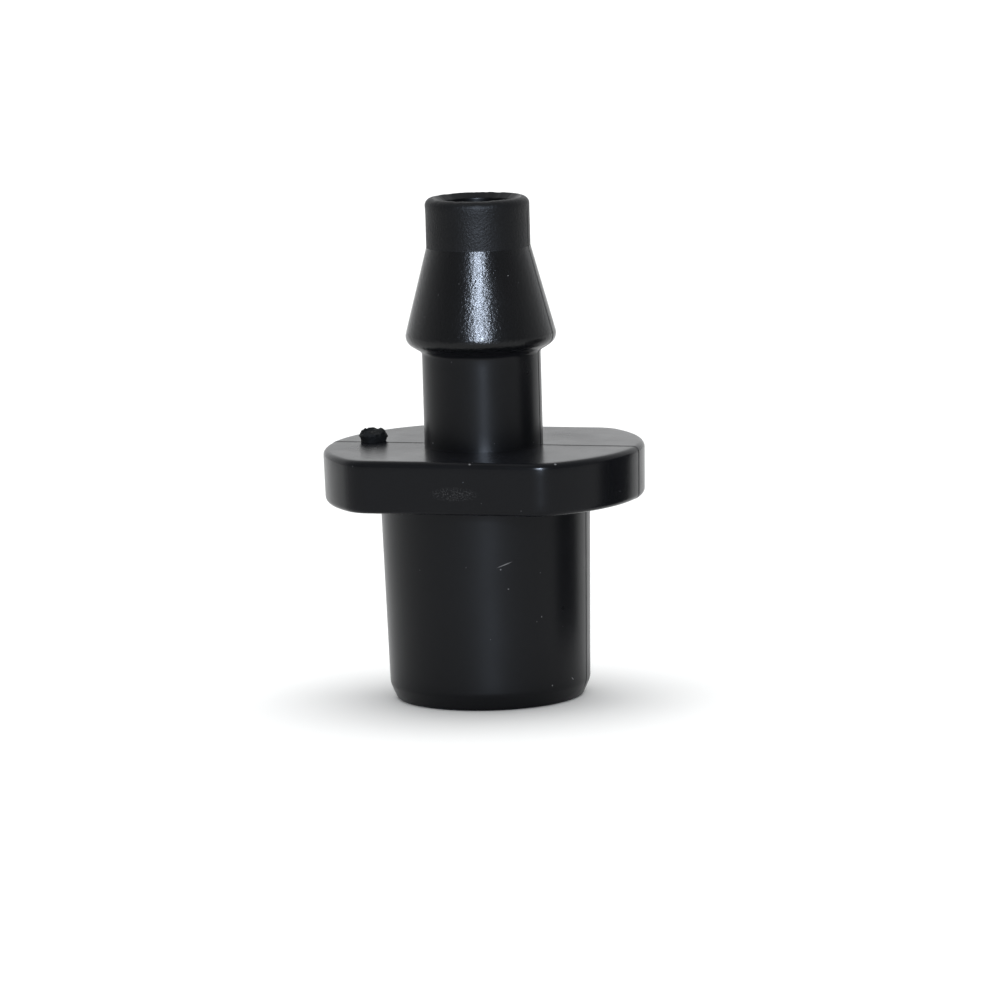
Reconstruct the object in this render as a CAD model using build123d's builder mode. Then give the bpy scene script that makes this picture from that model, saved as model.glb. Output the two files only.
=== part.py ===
from build123d import *

import os
from math import asin, cos, degrees, radians, sin

# Take-apart drip emitter for 4/7 mm micro tube: a barbed body with a strainer in its spigot, and a
# flow cartridge (diaphragm, labyrinth core, seal and outlet cap) that pulls out of the skirt below.
# The origin is the centre of the skirt's base. +Z points up to the barb's nose, +X runs along the
# flange's long axis and the flange's two flats face +Y and -Y. Millimetres and degrees.

# --- Body, outside -------------------------------------------------------------------------------
SKIRT_HEIGHT = 7.77
SKIRT_TOP_RADIUS = 4.07
SKIRT_BASE_RADIUS = 3.90        # the skirt is drafted, narrower at its base
SKIRT_CHAMFER_RADIAL = 0.28
SKIRT_CHAMFER_HEIGHT = 0.60
FLANGE_THICKNESS = 2.08
FLANGE_RADIUS = 6.24
FLANGE_HALF_FLATS = 4.95        # from the axis to either flat
FLANGE_DRAFT = 1.2
FLANGE_CORNER_RADIUS = 1.5      # where a flat meets the round
FLANGE_EDGE_RADIUS = 0.25
NECK_RADIUS = 2.305
BARB_UNDERSIDE_Z = 13.50
BARB_ROOT_RADIUS = 0.20         # where the barb's underside runs into the neck
BARB_Z = 13.92
BARB_RADIUS = 2.99
BARB_EDGE_RADIUS = 0.45
NOSE_Z = 17.57
NOSE_RADIUS = 2.02
NOSE_RIM_RADIUS = 0.28
OVERALL_HEIGHT = 19.46

# --- Body, inside --------------------------------------------------------------------------------
CHAMBER_RADIUS = 3.0
CHAMBER_ROOF_Z = 8.75
CHAMBER_LEAD_IN = 0.2
SEAT_DROP = 0.4                 # the valve seat stands this far down from the roof
SEAT_OUTER_RADIUS = 1.6
WATERWAY_RADIUS = 1.2
STRAINER_LEDGE_Z = 17.0
INLET_RADIUS = 1.45
INLET_LEAD_IN = 0.15

# --- Gate vestige on the flange, where the body was snapped off its runner -------------------------
GATE_X = -4.57
GATE_Y = 0.25
GATE_RADIUS = 0.5
GATE_HEIGHT = 0.45
GATE_TAPER = 12

# --- Clearances ----------------------------------------------------------------------------------
CARTRIDGE_CLEARANCE = 0.05      # radial, core and cap in the chamber
SEAL_CLEARANCE = 0.02           # radial, seal in the chamber and round the cap's spigot
INSERT_CLEARANCE = 0.01         # radial, pieces pushed into each other

# --- Strainer ------------------------------------------------------------------------------------
STRAINER_RIM_HEIGHT = 0.5
BASKET_RADIUS = 0.95
BASKET_WALL = 0.28
BASKET_LENGTH = 5.2
BASKET_FLOOR = 0.4
SLOT_COUNT = 6
SLOT_WIDTH = 0.3
SLOT_LENGTH = 3.8

# --- Diaphragm -----------------------------------------------------------------------------------
DIAPHRAGM_RADIUS = 2.45
DIAPHRAGM_THICKNESS = 0.6
DIAPHRAGM_TRAVEL = 0.25

# --- Labyrinth core ------------------------------------------------------------------------------
CORE_BASE_Z = 2.8
CUP_RADIUS = 2.55
CUP_FLOOR_Z = 7.35
CUP_RIBS = 3
RIB_WIDTH = 0.4
RIB_INNER_RADIUS = 1.15
THROTTLE_BOSS_RADIUS = 0.85
THROTTLE_BOSS_HEIGHT = 0.1
NOTCH_COUNT = 4
NOTCH_WIDTH = 0.8
NOTCH_DEPTH = 0.6
LANE_BOTTOMS = (3.2, 5.3)       # two lanes of the channel, one above the other
LANE_HEIGHT = 1.5
LANE_DEPTH = 0.55
LANE_START = 20                 # degrees about +Z, where the lower lane starts
LANE_SWEEP = 320
TOOTH_COUNT = 12
TOOTH_WIDTH = 0.42
TOOTH_REACH = 0.62              # share of the lane's height that one tooth closes
PORT_RADIUS = 0.3
RISER_OFFSET = 1.75
OUTLET_RADIUS = 0.5

# --- Outlet cap ----------------------------------------------------------------------------------
CAP_BASE_Z = 0.3
CAP_SHOULDER_Z = 1.8
CAP_EDGE_CHAMFER = 0.12
RECESS_OUTER_RADIUS = 2.3
RECESS_TOP_Z = 1.1
NOZZLE_RADIUS = 1.0
SPIGOT_RADIUS = 1.95
PILOT_RADIUS = 1.2
PILOT_SOCKET_HEIGHT = 0.8
PILOT_HEIGHT = 0.5              # the pilot ends short of its socket's roof
GRIP_BAR_WIDTH = 0.5
GRIP_BAR_ROOT = 0.01            # how far the bar runs into the nozzle and the rim
PRY_NOTCH_ANGLE = 90            # across the grip bar
PRY_NOTCH_WIDTH = 1.2
PRY_NOTCH_HEIGHT = 0.5

# Heights and radii that follow from the sizes above.
FLANGE_TOP_Z = SKIRT_HEIGHT + FLANGE_THICKNESS
SEAT_Z = CHAMBER_ROOF_Z - SEAT_DROP
CARTRIDGE_RADIUS = CHAMBER_RADIUS - CARTRIDGE_CLEARANCE
DIAPHRAGM_BASE_Z = SEAT_Z - DIAPHRAGM_THICKNESS
RIB_HEIGHT = DIAPHRAGM_BASE_Z - DIAPHRAGM_TRAVEL - CUP_FLOOR_Z
SEAL_OUTER_RADIUS = CHAMBER_RADIUS - SEAL_CLEARANCE
SEAL_INNER_RADIUS = SPIGOT_RADIUS + SEAL_CLEARANCE
OVERCUT = 0.3                   # how far a cutting solid runs past the face it opens
LEVEL_MARGIN = 0.001            # how closely an edge has to lie at a height


def rings_at(part, height):
    """The edges of a part that lie level at one height."""
    return part.edges().filter_by_position(Axis.Z, height - LEVEL_MARGIN, height + LEVEL_MARGIN)


def at_angle(radius, angle, height):
    """A place on a circle about +Z, turned so that its X axis points outwards."""
    return Location((radius * cos(radians(angle)), radius * sin(radians(angle)), height), (0, 0, angle))


os.makedirs("parts", exist_ok=True)

# --- Emitter body ----------------------------------------------------------------------------------
with BuildPart() as emitter_body:
    # The flange first, so that its outline can be rounded on its own.
    with BuildSketch(Plane.XY.offset(FLANGE_TOP_Z)) as flange_outline:
        Circle(FLANGE_RADIUS)
        Rectangle(2 * FLANGE_RADIUS, 2 * FLANGE_HALF_FLATS, mode=Mode.INTERSECT)
        fillet(flange_outline.vertices(), FLANGE_CORNER_RADIUS)
    extrude(amount=-FLANGE_THICKNESS, taper=FLANGE_DRAFT)
    fillet(rings_at(emitter_body, FLANGE_TOP_Z) + rings_at(emitter_body, SKIRT_HEIGHT), FLANGE_EDGE_RADIUS)

    # Skirt, neck, barb and nose, turned about the axis.
    with BuildSketch(Plane.XZ):
        with BuildLine():
            Polyline(
                (0, 0),
                (SKIRT_BASE_RADIUS - SKIRT_CHAMFER_RADIAL, 0),
                (SKIRT_BASE_RADIUS, SKIRT_CHAMFER_HEIGHT),
                (SKIRT_TOP_RADIUS, SKIRT_HEIGHT),
                (SKIRT_TOP_RADIUS, SKIRT_HEIGHT + FLANGE_THICKNESS / 2),
                (NECK_RADIUS, SKIRT_HEIGHT + FLANGE_THICKNESS / 2),
                (NECK_RADIUS, BARB_UNDERSIDE_Z),
                (BARB_RADIUS, BARB_Z),
                (NOSE_RADIUS, NOSE_Z),
                (NOSE_RADIUS, OVERALL_HEIGHT),
                (0, OVERALL_HEIGHT),
                close=True,
            )
        make_face()
    revolve(axis=Axis.Z)
    fillet(rings_at(emitter_body, OVERALL_HEIGHT), NOSE_RIM_RADIUS)
    fillet(rings_at(emitter_body, BARB_Z), BARB_EDGE_RADIUS)
    fillet(rings_at(emitter_body, BARB_UNDERSIDE_Z), BARB_ROOT_RADIUS)

    # The stub that the runner's gate left on the flange.
    with BuildSketch(Plane.XY.offset(FLANGE_TOP_Z)):
        with Locations((GATE_X, GATE_Y)):
            Circle(GATE_RADIUS)
    extrude(amount=GATE_HEIGHT, taper=GATE_TAPER)

    # Chamber, valve seat, waterway and strainer seat, as one turned hollow.
    with BuildSketch(Plane.XZ):
        with BuildLine():
            Polyline(
                (0, 0),
                (CHAMBER_RADIUS + CHAMBER_LEAD_IN, 0),
                (CHAMBER_RADIUS, CHAMBER_LEAD_IN),
                (CHAMBER_RADIUS, CHAMBER_ROOF_Z),
                (SEAT_OUTER_RADIUS, CHAMBER_ROOF_Z),
                (SEAT_OUTER_RADIUS, SEAT_Z),
                (WATERWAY_RADIUS, SEAT_Z),
                (WATERWAY_RADIUS, STRAINER_LEDGE_Z),
                (INLET_RADIUS, STRAINER_LEDGE_Z),
                (INLET_RADIUS, OVERALL_HEIGHT - INLET_LEAD_IN),
                (INLET_RADIUS + INLET_LEAD_IN, OVERALL_HEIGHT),
                (0, OVERALL_HEIGHT),
                close=True,
            )
        make_face()
    revolve(axis=Axis.Z, mode=Mode.SUBTRACT)

emitter_body.part.label = "emitter_body"
export_step(emitter_body.part, "parts/emitter_body.step")

# --- Inlet strainer: a slotted basket that hangs from its rim on the ledge in the spigot -------------
with BuildPart() as inlet_strainer:
    with BuildSketch(Plane.XZ):
        with BuildLine():
            Polyline(
                (0, STRAINER_LEDGE_Z - BASKET_LENGTH),
                (BASKET_RADIUS, STRAINER_LEDGE_Z - BASKET_LENGTH),
                (BASKET_RADIUS, STRAINER_LEDGE_Z),
                (INLET_RADIUS - INSERT_CLEARANCE, STRAINER_LEDGE_Z),
                (INLET_RADIUS - INSERT_CLEARANCE, STRAINER_LEDGE_Z + STRAINER_RIM_HEIGHT),
                (BASKET_RADIUS - BASKET_WALL, STRAINER_LEDGE_Z + STRAINER_RIM_HEIGHT),
                (BASKET_RADIUS - BASKET_WALL, STRAINER_LEDGE_Z - BASKET_LENGTH + BASKET_FLOOR),
                (0, STRAINER_LEDGE_Z - BASKET_LENGTH + BASKET_FLOOR),
                close=True,
            )
        make_face()
    revolve(axis=Axis.Z)
    with Locations((0, 0, STRAINER_LEDGE_Z - BASKET_LENGTH / 2)):
        with PolarLocations(BASKET_RADIUS, SLOT_COUNT):
            Box(BASKET_WALL + OVERCUT, SLOT_WIDTH, SLOT_LENGTH, mode=Mode.SUBTRACT)

inlet_strainer.part.label = "inlet_strainer"
export_step(inlet_strainer.part, "parts/inlet_strainer.step")

# --- Diaphragm: a silicone disc that closes the seat until the water pushes it down -----------------
with BuildPart() as diaphragm:
    with BuildSketch(Plane.XY.offset(DIAPHRAGM_BASE_Z)):
        Circle(DIAPHRAGM_RADIUS)
    extrude(amount=DIAPHRAGM_THICKNESS)

diaphragm.part.label = "diaphragm"
export_step(diaphragm.part, "parts/diaphragm.step")

# --- Labyrinth channel, as the solid that is cut from the core --------------------------------------
lane_pitch = LANE_SWEEP / (TOOTH_COUNT + 1)
tooth_height = TOOTH_REACH * LANE_HEIGHT
channel_radius = CARTRIDGE_RADIUS - LANE_DEPTH
lane_reach = LANE_DEPTH + OVERCUT

with BuildPart() as channel:
    for lane_bottom in LANE_BOTTOMS:
        with BuildSketch(Plane.XZ.rotated((0, 0, LANE_START))):
            with Locations((channel_radius + lane_reach / 2, lane_bottom + LANE_HEIGHT / 2)):
                Rectangle(lane_reach, LANE_HEIGHT)
        revolve(axis=Axis.Z, revolution_arc=LANE_SWEEP)
    # Teeth reach into each lane from above and below in turn, so the water has to weave.
    for lane_bottom in LANE_BOTTOMS:
        for tooth in range(TOOTH_COUNT):
            tooth_angle = LANE_START + (tooth + 1) * lane_pitch
            from_below = tooth % 2 == 0
            tooth_middle = tooth_height / 2 if from_below else LANE_HEIGHT - tooth_height / 2
            with Locations(at_angle(CARTRIDGE_RADIUS, tooth_angle, lane_bottom + tooth_middle)):
                Box(2 * lane_reach, TOOTH_WIDTH, tooth_height, mode=Mode.SUBTRACT)

# --- Labyrinth core ----------------------------------------------------------------------------------
# An end of a lane, moved in by half a port's angle so that the port stays inside the lane.
port_inset = degrees(asin(PORT_RADIUS / CARTRIDGE_RADIUS))
lower_end = LANE_START + port_inset
upper_end = LANE_START + LANE_SWEEP - port_inset
link_bottom = LANE_BOTTOMS[0]
link_top = LANE_BOTTOMS[1] + LANE_HEIGHT
port_z = LANE_BOTTOMS[0] + LANE_HEIGHT / 2

with BuildPart() as labyrinth_core:
    with BuildSketch(Plane.XY.offset(CORE_BASE_Z)):
        Circle(CARTRIDGE_RADIUS)
    extrude(amount=CHAMBER_ROOF_Z - CORE_BASE_Z)

    # Cup for the diaphragm, with ribs that stop it and a low boss round the throttled outlet.
    with BuildSketch(Plane.XY.offset(CUP_FLOOR_Z)):
        Circle(CUP_RADIUS)
    extrude(amount=CHAMBER_ROOF_Z - CUP_FLOOR_Z, mode=Mode.SUBTRACT)
    with BuildSketch(Plane.XY.offset(CUP_FLOOR_Z)):
        Circle(THROTTLE_BOSS_RADIUS)
    extrude(amount=THROTTLE_BOSS_HEIGHT)
    rib_length = CUP_RADIUS - RIB_INNER_RADIUS
    rib_start = lower_end + 180 / CUP_RIBS
    with BuildSketch(Plane.XY.offset(CUP_FLOOR_Z)):
        with PolarLocations(RIB_INNER_RADIUS + rib_length / 2, CUP_RIBS, start_angle=rib_start):
            Rectangle(rib_length, RIB_WIDTH)
    extrude(amount=RIB_HEIGHT)

    # Notches in the cup's rim let the water out to the wall, and one of them feeds the upper lane.
    with BuildSketch(Plane.XY.offset(CHAMBER_ROOF_Z)):
        with PolarLocations((CUP_RADIUS + CARTRIDGE_RADIUS) / 2, NOTCH_COUNT, start_angle=lower_end):
            Rectangle(CARTRIDGE_RADIUS - CUP_RADIUS + OVERCUT, NOTCH_WIDTH)
    extrude(amount=-NOTCH_DEPTH, mode=Mode.SUBTRACT)
    feed_height = CHAMBER_ROOF_Z - LANE_BOTTOMS[1]
    feed_depth = CARTRIDGE_RADIUS - CUP_RADIUS
    with Locations(at_angle(CARTRIDGE_RADIUS, lower_end, LANE_BOTTOMS[1] + feed_height / 2)):
        Box(feed_depth, 2 * PORT_RADIUS, feed_height, mode=Mode.SUBTRACT)

    # The channel, and the link from the upper lane's far end to the lower lane.
    add(channel.part, mode=Mode.SUBTRACT)
    with Locations(at_angle(CARTRIDGE_RADIUS, upper_end, (link_bottom + link_top) / 2)):
        Box(2 * LANE_DEPTH, 2 * PORT_RADIUS, link_top - link_bottom, mode=Mode.SUBTRACT)

    # Port and riser take the water from the lower lane up to the space under the diaphragm.
    with BuildSketch(Plane.XY.offset(CUP_FLOOR_Z)):
        with Locations(at_angle(RISER_OFFSET, lower_end, 0)):
            Circle(PORT_RADIUS)
    extrude(amount=port_z - CUP_FLOOR_Z, mode=Mode.SUBTRACT)
    with Locations(at_angle((RISER_OFFSET + CARTRIDGE_RADIUS) / 2, lower_end, port_z)):
        Box(CARTRIDGE_RADIUS - RISER_OFFSET, PORT_RADIUS, 2 * PORT_RADIUS, mode=Mode.SUBTRACT)

    # Outlet down the middle, and the socket that takes the cap's pilot.
    with BuildSketch(Plane.XY.offset(CUP_FLOOR_Z + THROTTLE_BOSS_HEIGHT)):
        Circle(OUTLET_RADIUS)
    extrude(amount=CORE_BASE_Z - CUP_FLOOR_Z - THROTTLE_BOSS_HEIGHT, mode=Mode.SUBTRACT)
    with BuildSketch(Plane.XY.offset(CORE_BASE_Z)):
        Circle(PILOT_RADIUS)
    extrude(amount=PILOT_SOCKET_HEIGHT, mode=Mode.SUBTRACT)

labyrinth_core.part.label = "labyrinth_core"
export_step(labyrinth_core.part, "parts/labyrinth_core.step")

# --- Core seal: an O-ring between the core and the cap's shoulder ------------------------------------
with BuildPart() as core_seal:
    with BuildSketch(Plane.XZ):
        with Locations(((SEAL_INNER_RADIUS + SEAL_OUTER_RADIUS) / 2, (CAP_SHOULDER_Z + CORE_BASE_Z) / 2)):
            Circle((SEAL_OUTER_RADIUS - SEAL_INNER_RADIUS) / 2)
    revolve(axis=Axis.Z)

core_seal.part.label = "core_seal"
export_step(core_seal.part, "parts/core_seal.step")

# --- Outlet cap: closes the skirt, with a drip nozzle in a recess that also gives a grip to pull on --
with BuildPart() as outlet_cap:
    with BuildSketch(Plane.XZ):
        with BuildLine():
            Polyline(
                (OUTLET_RADIUS, CAP_BASE_Z),
                (NOZZLE_RADIUS, CAP_BASE_Z),
                (NOZZLE_RADIUS, RECESS_TOP_Z),
                (RECESS_OUTER_RADIUS, RECESS_TOP_Z),
                (RECESS_OUTER_RADIUS, CAP_BASE_Z),
                (CARTRIDGE_RADIUS - CAP_EDGE_CHAMFER, CAP_BASE_Z),
                (CARTRIDGE_RADIUS, CAP_BASE_Z + CAP_EDGE_CHAMFER),
                (CARTRIDGE_RADIUS, CAP_SHOULDER_Z),
                (SPIGOT_RADIUS, CAP_SHOULDER_Z),
                (SPIGOT_RADIUS, CORE_BASE_Z),
                (PILOT_RADIUS - INSERT_CLEARANCE, CORE_BASE_Z),
                (PILOT_RADIUS - INSERT_CLEARANCE, CORE_BASE_Z + PILOT_HEIGHT),
                (OUTLET_RADIUS, CORE_BASE_Z + PILOT_HEIGHT),
                close=True,
            )
        make_face()
    revolve(axis=Axis.Z)
    # A bar across the recess, either side of the nozzle, to pull with pliers.
    bar_length = RECESS_OUTER_RADIUS - NOZZLE_RADIUS
    with BuildSketch(Plane.XY.offset(RECESS_TOP_Z)):
        with PolarLocations(NOZZLE_RADIUS + bar_length / 2, 2):
            Rectangle(bar_length + 2 * GRIP_BAR_ROOT, GRIP_BAR_WIDTH)
    extrude(amount=CAP_BASE_Z - RECESS_TOP_Z)
    # Notches in the rim, where a blade can start the cap out of the skirt.
    rim_width = CARTRIDGE_RADIUS - RECESS_OUTER_RADIUS
    with BuildSketch(Plane.XY.offset(CAP_BASE_Z)):
        with PolarLocations(RECESS_OUTER_RADIUS + rim_width / 2, 2, start_angle=PRY_NOTCH_ANGLE):
            Rectangle(rim_width + OVERCUT, PRY_NOTCH_WIDTH)
    extrude(amount=PRY_NOTCH_HEIGHT, mode=Mode.SUBTRACT)

outlet_cap.part.label = "outlet_cap"
export_step(outlet_cap.part, "parts/outlet_cap.step")
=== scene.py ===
"""Fine meshes, finishes and studio for a take-apart drip emitter.

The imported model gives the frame: its bodies, its joints and the box of each of its six pieces. Every
class below builds one sub-assembly as dense turned skins, in millimetres, and dresses it.
"""

import logging
import math
from dataclasses import dataclass
from enum import Enum
from typing import Any, Callable, Sequence

import bmesh
import bpy
import numpy as np
from mathutils import Matrix, Vector, noise


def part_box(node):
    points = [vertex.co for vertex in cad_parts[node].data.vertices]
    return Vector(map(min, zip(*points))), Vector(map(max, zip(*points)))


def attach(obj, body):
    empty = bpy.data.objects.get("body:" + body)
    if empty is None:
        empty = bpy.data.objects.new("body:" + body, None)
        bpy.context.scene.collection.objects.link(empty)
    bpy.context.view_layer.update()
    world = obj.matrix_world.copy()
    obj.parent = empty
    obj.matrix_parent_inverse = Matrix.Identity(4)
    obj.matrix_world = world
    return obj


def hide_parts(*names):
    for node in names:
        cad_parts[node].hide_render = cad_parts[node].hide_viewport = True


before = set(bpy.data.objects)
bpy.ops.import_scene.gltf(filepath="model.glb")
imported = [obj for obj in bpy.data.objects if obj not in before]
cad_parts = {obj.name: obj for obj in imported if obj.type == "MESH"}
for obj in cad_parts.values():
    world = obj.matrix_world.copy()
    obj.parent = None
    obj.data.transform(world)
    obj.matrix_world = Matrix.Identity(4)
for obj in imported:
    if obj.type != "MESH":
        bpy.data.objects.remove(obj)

MM = 0.001
TINY = 1e-6  # a smaller radius is a point on the axis
LEVEL_MARGIN = 0.001  # how closely a ring has to lie at a height
WALL_MARGIN = 0.01  # how closely it has to lie on a wall
FOLD_SHARE = 0.96  # how far a wall folds away where it is notched, short of closing its faces
SMOOTH_BELOW = 35.0  # edges that bend by fewer degrees are drawn smooth
log = logging.getLogger("drip_emitter")


class Body(Enum):
    """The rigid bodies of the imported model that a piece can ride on."""

    BODY = "body"
    CARTRIDGE = "cartridge"
    DIAPHRAGM = "diaphragm"


# --- Colours and materials --------------------------------------------------------------------------


def linear(code: str) -> tuple[float, float, float, float]:
    """Turns an sRGB hex colour into the linear colour that shaders take.

    Args:
        code: six hex digits, with or without a leading hash.

    Returns:
        Linear red, green, blue and an alpha of 1.
    """
    digits = code.lstrip("#")
    shares = [int(digits[place : place + 2], 16) / 255 for place in (0, 2, 4)]
    red, green, blue = (s / 12.92 if s <= 0.04045 else ((s + 0.055) / 1.055) ** 2.4 for s in shares)
    return red, green, blue, 1.0


def add_node(
    tree: bpy.types.NodeTree,
    kind: str,
    settings: dict[str | int, Any] | None = None,
    links: dict[str | int, bpy.types.NodeSocket] | None = None,
) -> bpy.types.Node:
    """Adds one node with its settings and its incoming links.

    Args:
        tree: the node tree to add to.
        kind: the node's type name.
        settings: values by input name, input number or attribute name.
        links: source sockets by input name or number.

    Returns:
        The new node.
    """
    node = tree.nodes.new(kind)
    for key, value in (settings or {}).items():
        if isinstance(key, int) or key in node.inputs:
            node.inputs[key].default_value = value
        else:
            setattr(node, key, value)
    for key, socket in (links or {}).items():
        tree.links.new(socket, node.inputs[key])
    return node


@dataclass(frozen=True)
class Mark:
    """A small pale mark of handling: a dot of dust, a nick or a scratch. Millimetres and degrees.

    Attributes:
        turn: direction from the axis, about +Z from +X.
        radius: distance from the axis.
        height: height above the skirt's base.
        half_length: half of its length round the axis.
        half_width: half of its width.
        slope: how far its length rises to the right.
        speckled: whether it is a cloud of specks rather than one mark.
    """

    turn: float
    radius: float
    height: float
    half_length: float = 0.03
    half_width: float = 0.03
    slope: float = 0.0
    speckled: bool = False

    REACH_MM = 0.12
    FADE_FROM = 0.6
    FADE_TO = 1.2
    SPECK_MM = 0.055
    SPECK_FROM = 0.5
    SPECK_TO = 1.3

    def mask(self, tree: bpy.types.NodeTree, place: bpy.types.NodeSocket) -> bpy.types.NodeSocket:
        """Draws the mark as a soft ellipsoid round its centre.

        Args:
            tree: the node tree to add to.
            place: object coordinates.

        Returns:
            A socket that is 1 on the mark and 0 off it.
        """
        turn = math.radians(self.turn)
        centre = (self.radius * MM * math.cos(turn), self.radius * MM * math.sin(turn), self.height * MM)
        local = add_node(
            tree,
            "ShaderNodeMapping",
            {
                "vector_type": "TEXTURE",
                "Location": centre,
                "Rotation": (0.0, -math.radians(self.slope), turn + math.pi / 2),
                "Scale": (self.half_length * MM, self.REACH_MM * MM, self.half_width * MM),
            },
            {"Vector": place},
        )
        reach = add_node(tree, "ShaderNodeVectorMath", {"operation": "LENGTH"}, {0: local.outputs["Vector"]})
        inside = add_node(
            tree,
            "ShaderNodeMapRange",
            {"From Min": self.FADE_TO, "From Max": self.FADE_FROM},
            {"Value": reach.outputs["Value"]},
        ).outputs["Result"]
        if not self.speckled:
            return inside
        specks = add_node(
            tree, "ShaderNodeTexNoise", {"Scale": 1 / (self.SPECK_MM * MM), "Detail": 2.0}, {"Vector": place}
        )
        pale = add_node(
            tree,
            "ShaderNodeMapRange",
            {"From Min": self.SPECK_FROM, "From Max": self.SPECK_TO},
            {"Value": specks.outputs["Fac"]},
        )
        return add_node(
            tree, "ShaderNodeMath", {"operation": "MULTIPLY"}, {0: inside, 1: pale.outputs["Result"]}
        ).outputs["Value"]


@dataclass(frozen=True)
class MouldedPlastic:
    """An injection-moulded plastic or rubber, with the texture that its mould gave it.

    Attributes:
        name: the material and how its surface was made.
        colour: sRGB hex colour.
        roughness: mean roughness, which the patches below vary.
        ior: refractive index.
        specular: specular level, 0.5 being what the index alone gives.
        grain_mm: width of the mould's grain.
        grain_depth_mm: how deep that grain is.
        ripple_mm: width of the soft waves that flow and shrinkage leave.
        ripple_depth_mm: how deep they are.
        patch: how far roughness strays from its mean, as a share.
        dust: whether handling has left fine dust.
        marks: single pale marks of handling.
        subsurface: share of light that goes through a milky body.
    """

    name: str
    colour: str
    roughness: float
    ior: float = 1.49
    specular: float = 0.5
    grain_mm: float = 0.09
    grain_depth_mm: float = 0.0015
    ripple_mm: float = 1.6
    ripple_depth_mm: float = 0.004
    patch: float = 0.15
    dust: bool = False
    marks: tuple[Mark, ...] = ()
    subsurface: float = 0.0

    PATCH_SPREAD = 1.9
    PATCH_LOW, PATCH_HIGH = 0.3, 0.7
    SCATTER_MM = 0.6
    SCATTER_BALANCE = (1.0, 0.9, 0.8)
    DUST_COLOUR = "4c4d50"
    DUST_CELL_MM = 0.62
    DUST_RADIUS_MM = 0.022
    MARK_COLOUR = "77787b"

    def build(self) -> bpy.types.Material:
        """Makes the node material.

        Returns:
            The material.
        """
        material = bpy.data.materials.new(self.name)
        material.use_nodes = True
        tree = material.node_tree
        tree.nodes.clear()
        place = add_node(tree, "ShaderNodeTexCoord").outputs["Object"]
        shader = add_node(
            tree,
            "ShaderNodeBsdfPrincipled",
            {
                "Base Color": linear(self.colour),
                "IOR": self.ior,
                "Specular IOR Level": self.specular,
                "Subsurface Weight": self.subsurface,
                "Subsurface Radius": self.SCATTER_BALANCE,
                "Subsurface Scale": self.SCATTER_MM * MM,
            },
        )
        add_node(tree, "ShaderNodeOutputMaterial", links={"Surface": shader.outputs["BSDF"]})
        tree.links.new(self._roughness(tree, place), shader.inputs["Roughness"])
        tree.links.new(self._relief(tree, place), shader.inputs["Normal"])
        if self.dust:
            tree.links.new(self._dusted(tree, place), shader.inputs["Base Color"])
        return material

    def _roughness(self, tree: bpy.types.NodeTree, place: bpy.types.NodeSocket) -> bpy.types.NodeSocket:
        """Roughness in soft patches, as a mould's polish wears unevenly.

        Args:
            tree: the node tree to add to.
            place: object coordinates.

        Returns:
            The socket of the roughness.
        """
        patches = add_node(
            tree,
            "ShaderNodeTexNoise",
            {"Scale": 1 / (self.PATCH_SPREAD * self.ripple_mm * MM), "Detail": 4.0, "Roughness": 0.6},
            {"Vector": place},
        )
        return add_node(
            tree,
            "ShaderNodeMapRange",
            {
                "From Min": self.PATCH_LOW,
                "From Max": self.PATCH_HIGH,
                "To Min": self.roughness * (1 - self.patch),
                "To Max": self.roughness * (1 + self.patch),
            },
            {"Value": patches.outputs["Fac"]},
        ).outputs["Result"]

    def _relief(self, tree: bpy.types.NodeTree, place: bpy.types.NodeSocket) -> bpy.types.NodeSocket:
        """Fine mould grain over the soft ripple of flow and shrinkage.

        Args:
            tree: the node tree to add to.
            place: object coordinates.

        Returns:
            The socket of the shading normal.
        """
        ripple = add_node(
            tree,
            "ShaderNodeTexNoise",
            {"Scale": 1 / (self.ripple_mm * MM), "Detail": 2.0},
            {"Vector": place},
        )
        grain = add_node(
            tree,
            "ShaderNodeTexNoise",
            {"Scale": 1 / (self.grain_mm * MM), "Detail": 3.0, "Roughness": 0.65},
            {"Vector": place},
        )
        soft = add_node(
            tree,
            "ShaderNodeBump",
            {"Strength": 1.0, "Distance": self.ripple_depth_mm * MM},
            {"Height": ripple.outputs["Fac"]},
        )
        return add_node(
            tree,
            "ShaderNodeBump",
            {"Strength": 1.0, "Distance": self.grain_depth_mm * MM},
            {"Height": grain.outputs["Fac"], "Normal": soft.outputs["Normal"]},
        ).outputs["Normal"]

    def _dusted(self, tree: bpy.types.NodeTree, place: bpy.types.NodeSocket) -> bpy.types.NodeSocket:
        """The plain colour with a little fine dust and the marks of handling.

        Args:
            tree: the node tree to add to.
            place: object coordinates.

        Returns:
            The socket of the colour.
        """
        cells = add_node(
            tree, "ShaderNodeTexVoronoi", {"Scale": 1 / (self.DUST_CELL_MM * MM)}, {"Vector": place}
        )
        speck = add_node(
            tree,
            "ShaderNodeMath",
            {"operation": "LESS_THAN", 1: self.DUST_RADIUS_MM / self.DUST_CELL_MM},
            {0: cells.outputs["Distance"]},
        )
        tint = add_node(
            tree,
            "ShaderNodeMix",
            {"data_type": "RGBA", 6: linear(self.colour), 7: linear(self.DUST_COLOUR)},
            {0: speck.outputs["Value"]},
        ).outputs[2]
        for mark in self.marks:
            tint = add_node(
                tree,
                "ShaderNodeMix",
                {"data_type": "RGBA", 7: linear(self.MARK_COLOUR)},
                {0: mark.mask(tree, place), 6: tint},
            ).outputs[2]
        return tint


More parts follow.
